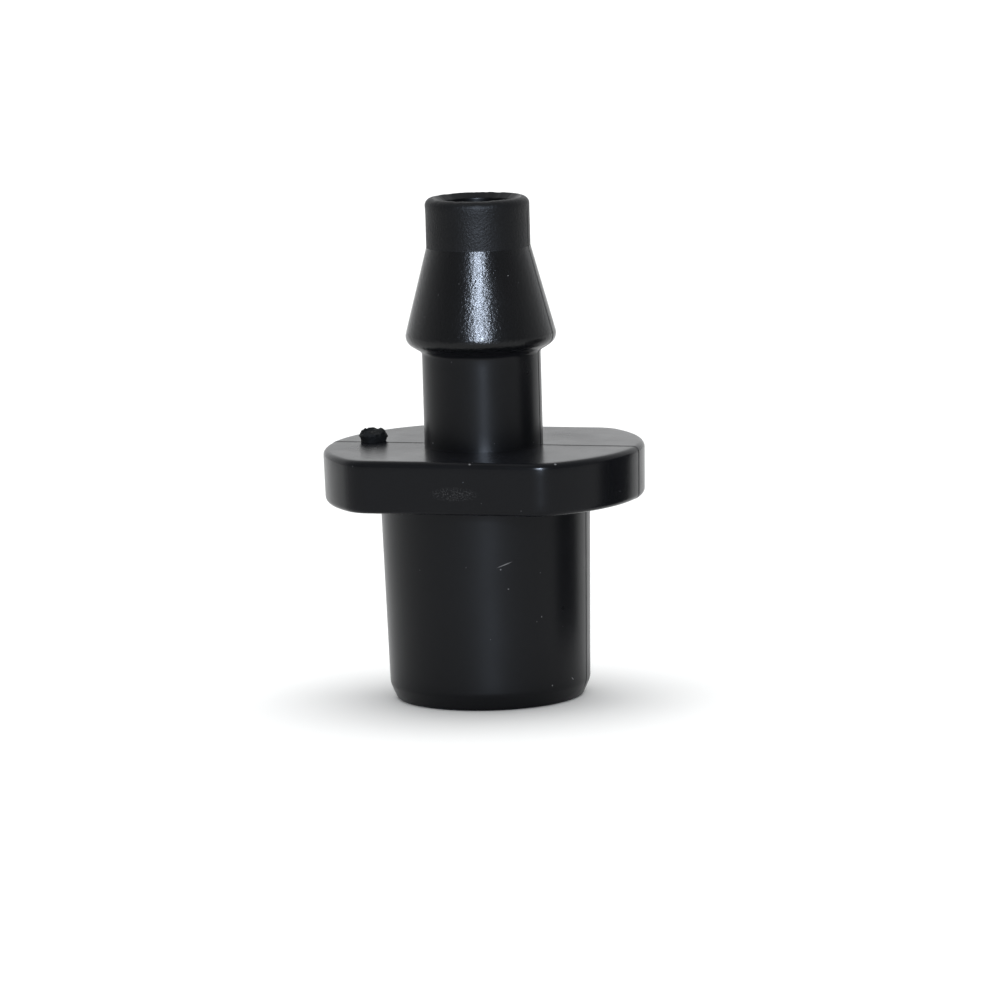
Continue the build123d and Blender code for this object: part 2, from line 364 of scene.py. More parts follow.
# Black polypropylene from a polished tool: deep black, with a soft sheen and a few marks of handling.
POLISHED_POLYPROPYLENE = MouldedPlastic(
    "polypropylene_black_polished",
    "121316",
    0.3,
    specular=0.13,
    grain_depth_mm=0.001,
    patch=0.1,
    dust=True,
    marks=(
        Mark(-63.4, 4.03, 5.72, half_length=0.3, half_width=0.022, slope=19),
        Mark(-65.7, 4.02, 5.54),
        Mark(-61.6, 4.01, 4.77, half_length=0.035, half_width=0.02),
        Mark(-42.0, 3.98, 3.57, half_length=0.02, half_width=0.035),
        Mark(-46.0, 4.06, 7.56, half_length=0.04, half_width=0.02),
        Mark(-18.3, 3.92, 0.92, half_length=0.09, half_width=0.02, slope=-40),
        Mark(-35.3, 3.92, 0.82),
        Mark(-131.7, 2.305, 10.1, half_length=0.04),
    ),
)
# The barb's cone comes from the best polished part of the tool, and catches the light sharply.
BARB_POLYPROPYLENE = MouldedPlastic(
    "polypropylene_black_barb",
    "101113",
    0.22,
    specular=0.2,
    grain_mm=0.12,
    grain_depth_mm=0.016,
    ripple_mm=0.7,
    ripple_depth_mm=0.005,
    dust=True,
    marks=(Mark(-43.5, 2.3, 16.6, half_width=0.02),),
)
# The nose comes from a spark-eroded insert: matt and finely pitted, so it glitters where light falls.
ERODED_POLYPROPYLENE = MouldedPlastic(
    "polypropylene_black_spark_eroded", "141517", 0.42, specular=0.11, grain_mm=0.1, grain_depth_mm=0.024
)
# The flange's faces carry the cutter's marks of the tool: satin, with one scuffed patch in front.
SATIN_POLYPROPYLENE = MouldedPlastic(
    "polypropylene_black_satin",
    "121316",
    0.24,
    specular=0.12,
    grain_mm=0.12,
    grain_depth_mm=0.002,
    dust=True,
    marks=(
        Mark(-88.0, 4.95, 8.61, half_length=0.95, half_width=0.26, speckled=True),
        Mark(-79.5, 4.98, 9.78, half_length=0.05),
        Mark(-47.0, 6.1, 9.78, half_length=0.05),
    ),
)
# Where the gate was snapped off, the plastic tore: dull and ragged.
TORN_POLYPROPYLENE = MouldedPlastic(
    "polypropylene_black_torn", "121314", 0.7, specular=0.12, grain_mm=0.07, grain_depth_mm=0.03
)
# Natural acetal: off-white, waxy and slightly milky.
NATURAL_ACETAL = MouldedPlastic(
    "acetal_natural_moulded", "d9d4c6", 0.38, ior=1.48, grain_depth_mm=0.001, subsurface=0.15
)
# Blue acetal, the colour code of a low flow rate: dense colour under a waxy sheen.
BLUE_ACETAL = MouldedPlastic("acetal_blue_moulded", "2c5f9e", 0.34, ior=1.48, grain_depth_mm=0.001)
# Silicone rubber from a satin tool: grey-white, soft and milky.
SILICONE = MouldedPlastic(
    "silicone_rubber_moulded", "c3c3ba", 0.5, ior=1.41, grain_depth_mm=0.002, subsurface=0.35
)
# Black EPDM rubber with a trace of grease, so dull black with a broad sheen.
EPDM = MouldedPlastic("epdm_rubber_moulded", "191919", 0.45, ior=1.5, grain_depth_mm=0.002)


# --- Turned skins -----------------------------------------------------------------------------------


@dataclass(frozen=True)
class Corner:
    """A corner of a turned profile, in millimetres.

    Attributes:
        radius: distance from the axis.
        height: height above the skirt's base.
        rounding: radius that rounds the corner, 0 for a sharp one.
        finish: number of the finish from this corner to the next.
    """

    radius: float
    height: float
    rounding: float = 0.0
    finish: int = 0


@dataclass(frozen=True)
class Station:
    """One ring of a turned skin: its nominal radius and height, its outward normal and its finish."""

    radius: float
    height: float
    normal: tuple[float, float] = (0.0, 0.0)
    finish: int = 0

    def ring(self, angles: np.ndarray) -> tuple[np.ndarray, np.ndarray]:
        """Its radius and its height, once for each column."""
        return np.full(len(angles), self.radius), np.full(len(angles), self.height)


@dataclass
class Profile:
    """A turned profile that is walked with round corners and even steps.

    Attributes:
        corners: its corners, in order.
        step: longest distance between two stations.
        closed: whether the last corner joins the first. An open profile starts and ends on the axis.
    """

    corners: Sequence[Corner]
    step: float = 0.3
    closed: bool = True

    ARC_STEPS = 6

    def stations(self) -> list[Station]:
        """Walks the profile.

        Returns:
            Its rings, with normals taken from their neighbours.
        """
        legs = [self._round(number) for number in range(len(self.corners))]
        places: list[tuple[float, float, int]] = []
        for number, arc in enumerate(legs):
            finish = self.corners[number].finish
            places += [(point[0], point[1], finish) for point in arc]
            if number + 1 == len(legs) and not self.closed:
                break
            after = legs[(number + 1) % len(legs)][0]
            start = arc[-1]
            pieces = max(1, math.ceil(math.dist(start, after) / self.step))
            for piece in range(1, pieces):
                share = piece / pieces
                radius, height = (a + share * (b - a) for a, b in zip(start, after))
                places.append((radius, height, finish))
        return self._with_normals(places)

    def _round(self, number: int) -> list[tuple[float, float]]:
        """Points of one corner: the corner itself, or the arc that rounds it.

        Args:
            number: the corner's number.

        Returns:
            Radius and height of each point, in order.
        """
        corner = self.corners[number]
        here = Vector((corner.radius, corner.height))
        end = not self.closed and number in (0, len(self.corners) - 1)
        if corner.rounding == 0 or end:
            return [tuple(here)]
        before = self.corners[number - 1]
        after = self.corners[(number + 1) % len(self.corners)]
        back = (Vector((before.radius, before.height)) - here).normalized()
        ahead = (Vector((after.radius, after.height)) - here).normalized()
        half = back.angle(ahead) / 2
        bisector = (back + ahead).normalized()
        centre = here + bisector * (corner.rounding / math.sin(half))
        start = here + back * (corner.rounding / math.tan(half)) - centre
        finish = here + ahead * (corner.rounding / math.tan(half)) - centre
        turn = start.angle_signed(finish)
        arc = []
        for step in range(self.ARC_STEPS + 1):
            point = start.copy()
            point.rotate(Matrix.Rotation(-turn * step / self.ARC_STEPS, 2))
            arc.append(tuple(centre + point))
        return arc

    def _with_normals(self, places: list[tuple[float, float, int]]) -> list[Station]:
        """Gives each place the normal to the line between its two neighbours.

        Args:
            places: radius, height and finish of each place.

        Returns:
            The rings, in the same order.
        """
        count = len(places)
        made = []
        for number, (radius, height, finish) in enumerate(places):
            if self.closed:
                before, after = places[number - 1], places[(number + 1) % count]
            else:
                before, after = places[max(0, number - 1)], places[min(count - 1, number + 1)]
            along = Vector((after[0] - before[0], after[1] - before[1])).normalized()
            made.append(Station(radius, height, (along.y, -along.x), finish))
        return made


@dataclass
class TurnedSkin:
    """A closed surface made of rings round the Z axis.

    Attributes:
        name: the piece's name.
        profile: what is turned.
        angles: the columns' angles, in radians, rising.
        relief: moves each ring's radii and heights, given them and the angles.
        finishes: the finishes that the profile's numbers stand for.
        crease: edges sharper than this many degrees are drawn sharp.
    """

    name: str
    profile: Profile
    angles: np.ndarray
    finishes: Sequence[MouldedPlastic]
    relief: Callable[[Station, np.ndarray], tuple[np.ndarray, np.ndarray]] | None = None
    crease: float = SMOOTH_BELOW

    def build(self) -> bpy.types.Object:
        """Makes the mesh object, smooth but for its creases, with its finishes.

        Returns:
            The object.
        """
        stations = self.profile.stations()
        points, band_finish, starts = [], [], []
        for station in stations:
            starts.append(len(points))
            band_finish.append(station.finish)
            if station.radius < TINY:
                points.append((0.0, 0.0, station.height))
                continue
            radii, heights = (self.relief or Station.ring)(station, self.angles)
            ring = np.stack([radii * np.cos(self.angles), radii * np.sin(self.angles), heights], axis=1)
            points += [tuple(point) for point in ring]
        sizes = np.diff(starts + [len(points)])
        faces, face_finish = [], []
        last = len(stations) if self.profile.closed else len(stations) - 1
        for number in range(last):
            after = (number + 1) % len(stations)
            band = self._band(starts[number], sizes[number], starts[after], sizes[after])
            faces += band
            face_finish += [band_finish[number]] * len(band)
        return make_piece(self.name, points, faces, self.finishes, face_finish, self.crease)

    @staticmethod
    def _band(low: int, low_size: int, high: int, high_size: int) -> list[tuple[int, ...]]:
        """Faces between two rings, either of which may be a single point on the axis.

        Args:
            low: number of the first ring's first point.
            low_size: how many points it has.
            high: number of the second ring's first point.
            high_size: how many points it has.

        Returns:
            The faces, as point numbers.
        """
        columns = max(low_size, high_size)
        band: list[tuple[int, ...]] = []
        for column in range(columns):
            beside = (column + 1) % columns
            if low_size == 1:
                band.append((low, high + column, high + beside))
            elif high_size == 1:
                band.append((low + column, low + beside, high))
            else:
                band.append((low + column, low + beside, high + beside, high + column))
        return band


def make_piece(
    name: str,
    points: Sequence[tuple[float, float, float]],
    faces: Sequence[tuple[int, ...]],
    finishes: Sequence[MouldedPlastic],
    face_finish: Sequence[int],
    crease: float,
) -> bpy.types.Object:
    """Makes a mesh object from millimetre points.

    Args:
        name: the piece's name.
        points: its points, in millimetres.
        faces: its faces, as point numbers.
        finishes: its finishes, one material slot each.
        face_finish: each face's finish number.
        crease: edges sharper than this many degrees are drawn sharp.

    Returns:
        The object, in metres, linked into the scene.
    """
    mesh = bpy.data.meshes.new(name)
    mesh.from_pydata([(x * MM, y * MM, z * MM) for x, y, z in points], [], faces)
    mesh.polygons.foreach_set("material_index", list(face_finish))
    mesh.polygons.foreach_set("use_smooth", [True] * len(faces))
    work = bmesh.new()
    work.from_mesh(mesh)
    bmesh.ops.recalc_face_normals(work, faces=work.faces)
    work.to_mesh(mesh)
    work.free()
    mesh.set_sharp_from_angle(angle=math.radians(crease))
    for finish in finishes:
        mesh.materials.append(bpy.data.materials.get(finish.name) or finish.build())
    piece = bpy.data.objects.new(name, mesh)
    bpy.context.scene.collection.objects.link(piece)
    return piece


def settle(piece: bpy.types.Object, body: Body, slot: str, *nodes: str) -> bpy.types.Object:
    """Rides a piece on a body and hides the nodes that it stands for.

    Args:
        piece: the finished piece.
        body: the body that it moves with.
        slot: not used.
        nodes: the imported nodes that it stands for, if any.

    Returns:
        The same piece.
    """
    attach(piece, body.value)
    if nodes:
        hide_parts(*nodes)
    log.info("%s: %d faces, rides on %s", piece.name, len(piece.data.polygons), body.value)
    return piece


def window(distance: np.ndarray, half_width: float, edge: float = 0.04) -> np.ndarray:
    """A smooth mask: 1 within half_width of 0 and 0 outside it, with soft edges.

    Args:
        distance: distances from the middle of what is masked.
        half_width: half of its width.
        edge: width of the soft edge.

    Returns:
        The mask, from 0 to 1.
    """
    share = np.clip((half_width - np.abs(distance)) / edge + 0.5, 0, 1)
    return share * share * (3 - 2 * share)


def at_level(distance: float, half_width: float, edge: float) -> float:
    """The same mask at one distance."""
    return float(window(np.array([distance]), half_width, edge)[0])


def turned_by(angles: np.ndarray, middle: float) -> np.ndarray:
    """Signed angle from a direction, in radians, between minus pi and pi."""
    return (angles - middle + math.pi) % (2 * math.pi) - math.pi


def even_columns(count: int) -> np.ndarray:
    """Evenly spaced column angles, in radians."""
    return np.arange(count) * 2 * math.pi / count


# --- The moulded body -------------------------------------------------------------------------------


class BodyFinish(Enum):
    """Where each finish of the tool shows on the body, as the number of its material slot."""

    POLISHED = 0
    BARB = 1
    ERODED = 2
    SATIN = 3


@dataclass
class EmitterBody:
    """The black moulding: skirt, flange with two flats, neck, barb and nose, and its hollow inside.

    All sizes are in millimetres and degrees.
    """

    height: float
    flange_radius: float
    half_flats: float
    skirt_height: float = 7.77
    skirt_top_radius: float = 4.07
    skirt_base_radius: float = 3.90
    skirt_foot_radius: float = 3.62
    chamfer_height: float = 0.6
    flange_thickness: float = 2.08
    flange_draft: float = 0.044
    corner_rounding: float = 1.5
    edge_rounding: float = 0.25
    foot_rounding: float = 0.15
    chamfer_rounding: float = 0.6
    flange_root_rounding: float = 0.08
    barb_root_rounding: float = 0.2
    barb_edge_rounding: float = 0.45
    nose_root_rounding: float = 0.12
    crisp_rounding: float = 0.02
    inner_rounding: float = 0.05
    roof_rounding: float = 0.1
    blend_radius: float = 4.4
    neck_radius: float = 2.305
    barb_underside: float = 13.50
    barb_height: float = 13.92
    barb_radius: float = 2.99
    nose_height: float = 17.57
    nose_radius: float = 2.02
    rim_rounding: float = 0.28
    inlet_radius: float = 1.45
    mouth_width: float = 0.26
    mouth_depth: float = 0.2
    ledge_height: float = 17.0
    waterway_radius: float = 1.2
    seat_radius: float = 1.6
    seat_height: float = 8.35
    roof_height: float = 8.75
    chamber_radius: float = 3.0
    lead_in: float = 0.2
    mismatch: float = 0.015
    seam_width: float = 0.05
    rim_wear: float = 0.035
    gate_place: tuple[float, float] = (-4.57, 0.25)
    gate_radius: float = 0.56
    gate_height: float = 0.5

    COLUMNS = 360
    CORNER_COLUMNS_DEG = np.arange(-3, 3.01, 0.25)
    SEAM_COLUMNS_DEG = (-0.7, -0.45, -0.3, -0.15, 0.15, 0.3, 0.45, 0.7)
    SEAM_FOOT_SHARE = 0.5
    SEAM_TOP_GAP = 0.4
    THINNEST_WALL = 0.5
    WEAR_DEPTH = 0.35
    WEAR_WIDTH = 0.6
    WEAR_EVERYWHERE = 0.35
    CHIP_LEVEL = 0.15
    CHIPS = ((1.0, 3.1, 4.7), (0.6, 9.3, 1.3))  # share, fineness and where the noise is cut
    GATE_COLUMNS = 56
    GATE_SUNK = 0.08
    GATE_FOOT, GATE_CROWN = 0.75, 0.8  # shares of its radius
    GATE_WAIST, GATE_MIDDLE = 0.4, 0.85  # shares of its height
    TEAR_FINENESS = (2.1, 3.0)  # across and upwards
    CRUMB_FINENESS = 7.0
    TEAR_BULGE, CRUMB_BULGE = 0.22, 0.14
    TEAR_DEPTH, CRUMB_DEPTH = 0.30, 0.24

    @property
    def flange_top(self) -> float:
        """Height of the flange's upper face."""
        return self.skirt_height + self.flange_thickness

    def build(self) -> None:
        """Makes the moulding and the stub of its gate."""
        skin = TurnedSkin(
            "moulded_body",
            self._profile(),
            self._columns(),
            (POLISHED_POLYPROPYLENE, BARB_POLYPROPYLENE, ERODED_POLYPROPYLENE, SATIN_POLYPROPYLENE),
            self._relief,
        )
        settle(skin.build(), Body.BODY, "body_black", "emitter_body")
        settle(self._gate_stub(), Body.BODY, "body_black")

    def _profile(self) -> Profile:
        """The body's section, up the outside and down the inside.

        Returns:
            The closed profile.
        """
        polished, barb = BodyFinish.POLISHED.value, BodyFinish.BARB.value
        eroded, satin = BodyFinish.ERODED.value, BodyFinish.SATIN.value
        return Profile(
            (
                Corner(self.chamber_radius + self.lead_in, 0, 0.03),
                Corner(self.skirt_foot_radius, 0, self.foot_rounding),
                Corner(self.skirt_base_radius, self.chamfer_height, self.chamfer_rounding),
                Corner(self.skirt_top_radius, self.skirt_height, self.flange_root_rounding, satin),
                Corner(self.flange_radius - self.flange_draft, self.skirt_height, self.edge_rounding, satin),
                Corner(self.flange_radius, self.flange_top, self.edge_rounding, satin),
                Corner(self.neck_radius, self.flange_top, 0, polished),
                Corner(self.neck_radius, self.barb_underside, self.barb_root_rounding, polished),
                Corner(self.barb_radius, self.barb_height, self.barb_edge_rounding, barb),
                Corner(self.nose_radius, self.nose_height, self.nose_root_rounding, eroded),
                Corner(self.nose_radius, self.height, self.rim_rounding, eroded),
                Corner(self.inlet_radius + self.mouth_width, self.height, self.crisp_rounding, polished),
                Corner(self.inlet_radius, self.height - self.mouth_depth, self.inner_rounding, polished),
                Corner(self.inlet_radius, self.ledge_height, self.crisp_rounding),
                Corner(self.waterway_radius, self.ledge_height, self.inner_rounding),
                Corner(self.waterway_radius, self.seat_height, self.inner_rounding),
                Corner(self.seat_radius, self.seat_height, self.inner_rounding),
                Corner(self.seat_radius, self.roof_height, self.inner_rounding),
                Corner(self.chamber_radius, self.roof_height, self.roof_rounding),
                Corner(self.chamber_radius, self.lead_in, self.inner_rounding),
            )
        )

    def _columns(self) -> np.ndarray:
        """Even columns, with more where a flat meets the round and along the mould's parting line.

        Returns:
            Their angles, in radians, rising.
        """
        extra = []
        corner = math.atan2(self.half_flats, math.sqrt(self.flange_radius**2 - self.half_flats**2))
        for middle in (corner, math.pi - corner, math.pi + corner, 2 * math.pi - corner):
            extra.append(middle + np.radians(self.CORNER_COLUMNS_DEG))
        for middle in (0.0, math.pi):
            extra.append(middle + np.radians(self.SEAM_COLUMNS_DEG))
        angles = np.concatenate([even_columns(self.COLUMNS), *extra]) % (2 * math.pi)
        return np.unique(angles.round(5))

    def _outline(self, angles: np.ndarray, inset: float) -> np.ndarray:
        """Distance from the axis to the flange's outline.

        Args:
            angles: directions, in radians.
            inset: how far inside the widest outline.

        Returns:
            One distance for each direction.
        """
        rounding = self.corner_rounding
        middle_y = self.half_flats - rounding
        middle_x = math.sqrt((self.flange_radius - rounding) ** 2 - middle_y**2)
        folded = np.arctan2(np.abs(np.sin(angles)), np.abs(np.cos(angles)))
        round_end = math.atan2(middle_y, middle_x)
        flat_start = math.atan2(self.half_flats - inset, middle_x)
        along = middle_x * np.cos(folded) + middle_y * np.sin(folded)
        across = middle_x * np.sin(folded) - middle_y * np.cos(folded)
        corner = along + np.sqrt(np.maximum((rounding - inset) ** 2 - across**2, 0))
        flat = (self.half_flats - inset) / np.maximum(np.sin(folded), TINY)
        outline = np.where(folded < round_end, self.flange_radius - inset, corner)
        return np.where(folded > flat_start, flat, outline)

    def _relief(self, station: Station, angles: np.ndarray) -> tuple[np.ndarray, np.ndarray]:
        """Shapes one ring: the flange's flats, the mould's mismatch at its parting line and wear.

        Args:
            station: the ring.
            angles: the columns' angles, in radians.

        Returns:
            Its radii and heights.
        """
        radii, heights = station.ring(angles)
        if self._on_flange(station):
            edge = self.flange_radius - self.edge_rounding - self.flange_draft
            if station.radius <= edge:
                share = (station.radius - self.blend_radius) / (edge - self.blend_radius)
                rim = self._outline(angles, self.flange_radius - edge)
                radii = (1 - share) * self.blend_radius + share * rim
            else:
                radii = self._outline(angles, self.flange_radius - station.radius)
        if self._is_outside(station):
            lift = self._seam(radii, angles)
            radii = radii + lift * station.normal[0]
            heights = heights + lift * station.normal[1]
        if station.height > self.height - self.WEAR_DEPTH:
            heights = heights - self._rim_wear(station, angles)
        return radii, heights

    def _on_flange(self, station: Station) -> bool:
        """Whether a ring follows the flange's outline."""
        level = self.skirt_height - LEVEL_MARGIN <= station.height <= self.flange_top + LEVEL_MARGIN
        return level and station.radius > self.blend_radius

    def _is_outside(self, station: Station) -> bool:
        """Whether a ring is on the outside, clear of the base that the emitter stands on.

        Args:
            station: the ring.

        Returns:
            True if the parting line crosses it.
        """
        foot = self.chamfer_height * self.SEAM_FOOT_SHARE
        if station.height <= foot or station.height > self.height - self.SEAM_TOP_GAP:
            return False
        return station.radius > self.waterway_radius + self.THINNEST_WALL and not (
            station.height <= self.roof_height and station.radius <= self.chamber_radius
        )

    def _seam(self, radii: np.ndarray, angles: np.ndarray) -> np.ndarray:
        """How far the tool's rear half stands proud of its front half, inside the true outline.

        Args:
            radii: the ring's radii.
            angles: the columns' angles, in radians.

        Returns:
            The shift of each column along the normal, 0 or less.
        """
        across = radii * np.sin(angles)
        share = np.clip(across / self.seam_width + 0.5, 0, 1)
        return -self.mismatch * (1 - share * share * (3 - 2 * share))

    def _rim_wear(self, station: Station, angles: np.ndarray) -> np.ndarray:
        """Small chips along the mouth's inner edge, deepest at the top.

        Args:
            station: the ring.
            angles: the columns' angles, in radians.

        Returns:
            How far each column is worn down.
        """
        rise = (station.height - (self.height - self.WEAR_DEPTH)) / self.WEAR_DEPTH
        inner = 1 - min(1.0, max(0.0, (station.radius - self.inlet_radius) / self.WEAR_WIDTH))
        chips = np.zeros(len(angles))
        for share, fineness, cut in self.CHIPS:
            places = [(fineness * math.cos(a), fineness * math.sin(a), cut) for a in angles]
            chips += share * np.array([noise.noise(Vector(place)) for place in places])
        return self.rim_wear * rise * (self.WEAR_EVERYWHERE + inner) * np.maximum(chips + self.CHIP_LEVEL, 0)

    def _gate_stub(self) -> bpy.types.Object:
        """The torn stub of the gate: a low, ragged crown sunk a little into the flange.

        Returns:
            The object.
        """
        level, radius, height = self.flange_top, self.gate_radius, self.gate_height
        profile = Profile(
            (
                Corner(0, level - self.GATE_SUNK),
                Corner(radius * self.GATE_FOOT, level - self.GATE_SUNK, 0.02),
                Corner(radius, level + height * self.GATE_WAIST, 0.15),
                Corner(radius * self.GATE_CROWN, level + height, 0.12),
                Corner(0, level + height * self.GATE_MIDDLE),
            ),
            step=0.05,
            closed=False,
        )

        def torn(station: Station, angles: np.ndarray) -> tuple[np.ndarray, np.ndarray]:
            """Ragged radii and heights for one ring, most ragged at the top.

            Args:
                station: the ring.
                angles: the columns' angles, in radians.

            Returns:
                Its radii and heights.
            """
            rise = max(0.0, station.height - self.flange_top) / self.gate_height
            across, upwards = self.TEAR_FINENESS
            crumb = self.CRUMB_FINENESS
            radii, heights = [], []
            for angle in angles:
                x, y = station.radius * math.cos(angle), station.radius * math.sin(angle)
                wide = noise.noise(Vector((across * x, across * y, upwards * station.height)))
                fine = noise.noise(Vector((crumb * x, crumb * y, crumb * station.height)))
                radii.append(station.radius * (1 + self.TEAR_BULGE * wide + self.CRUMB_BULGE * fine * rise))
                drop = self.TEAR_DEPTH * max(0.0, wide) + self.CRUMB_DEPTH * max(0.0, fine)
                heights.append(station.height - drop * rise)
            return np.array(radii), np.array(heights)

        stub = TurnedSkin(
            "gate_stub", profile, even_columns(self.GATE_COLUMNS), (TORN_POLYPROPYLENE,), torn, crease=50
        ).build()
        stub.data.transform(Matrix.Translation((self.gate_place[0] * MM, self.gate_place[1] * MM, 0)))
        return stub


# --- The strainer in the spigot ---------------------------------------------------------------------


@dataclass
class InletStrainer:
    """A slotted basket that hangs from its rim on the ledge in the spigot. Millimetres."""

    rim_radius: float
    top: float
    bottom: float
    rim_height: float = 0.5
    basket_radius: float = 0.95
    wall: float = 0.28
    floor: float = 0.4
    slots: int = 6
    slot_width: float = 0.3
    slot_length: float = 3.8

    COLUMNS = 144
    END_STEPS = 10
    OVERCUT = 0.2

    def build(self) -> None:
        """Makes the basket and opens its slots."""
        ledge = self.top - self.rim_height
        inside = self.basket_radius - self.wall
        profile = Profile(
            (
                Corner(0, self.bottom),
                Corner(self.basket_radius, self.bottom, 0.12),
                Corner(self.basket_radius, ledge, 0.04),
                Corner(self.rim_radius, ledge, 0.04),
                Corner(self.rim_radius, self.top, 0.06),
                Corner(inside, self.top, 0.1),
                Corner(inside, self.bottom + self.floor, 0.1),
                Corner(0, self.bottom + self.floor),
            ),
            step=0.25,
            closed=False,
        )
        columns = even_columns(self.COLUMNS)
        basket = TurnedSkin("strainer_basket", profile, columns, (NATURAL_ACETAL,)).build()
        cutter = self._slot_cutter((self.bottom + ledge) / 2)
        cut = basket.modifiers.new("slots", "BOOLEAN")
        cut.object, cut.operation, cut.solver = cutter, "DIFFERENCE", "EXACT"
        apply_modifiers(basket)
        bpy.data.objects.remove(cutter)
        settle(basket, Body.BODY, "strainer_natural", "inlet_strainer")

    def _slot_cutter(self, middle: float) -> bpy.types.Object:
        """All the slots as one object of round-ended bars that stand out from the axis.

        Args:
            middle: height of the slots' middle.

        Returns:
            The object to cut with.
        """
        ends, overcut = self.END_STEPS, self.OVERCUT
        half_run = (self.slot_length - self.slot_width) / 2
        outline = []
        for side in (1, -1):
            for step in range(ends + 1):
                turn = math.pi * step / ends
                across = side * self.slot_width / 2 * math.cos(turn)
                up = side * (half_run + self.slot_width / 2 * math.sin(turn))
                outline.append((across, middle + up))
        points, faces = [], []
        reach = (self.basket_radius - self.wall - overcut, self.basket_radius + overcut)
        for slot in range(self.slots):
            turn = 2 * math.pi * slot / self.slots
            start, count = len(points), len(outline)
            for out in reach:
                for across, height in outline:
                    x = out * math.cos(turn) - across * math.sin(turn)
                    y = out * math.sin(turn) + across * math.cos(turn)
                    points.append((x, y, height))
            for place in range(count):
                beside = (place + 1) % count
                faces.append((start + place, start + beside, start + count + beside, start + count + place))
            faces.append(tuple(start + place for place in range(count)))
            faces.append(tuple(start + count + place for place in reversed(range(count))))
        return make_piece("slot_cutter", points, faces, (), [0] * len(faces), 30)


def apply_modifiers(piece: bpy.types.Object) -> None:
    """Turns a piece's modifiers into plain mesh.

    Args:
        piece: the piece.
    """
    ready = bpy.data.meshes.new_from_object(piece.evaluated_get(bpy.context.evaluated_depsgraph_get()))
    piece.modifiers.clear()
    piece.data = ready
    ready.set_sharp_from_angle(angle=math.radians(SMOOTH_BELOW))


# --- The cartridge ----------------------------------------------------------------------------------


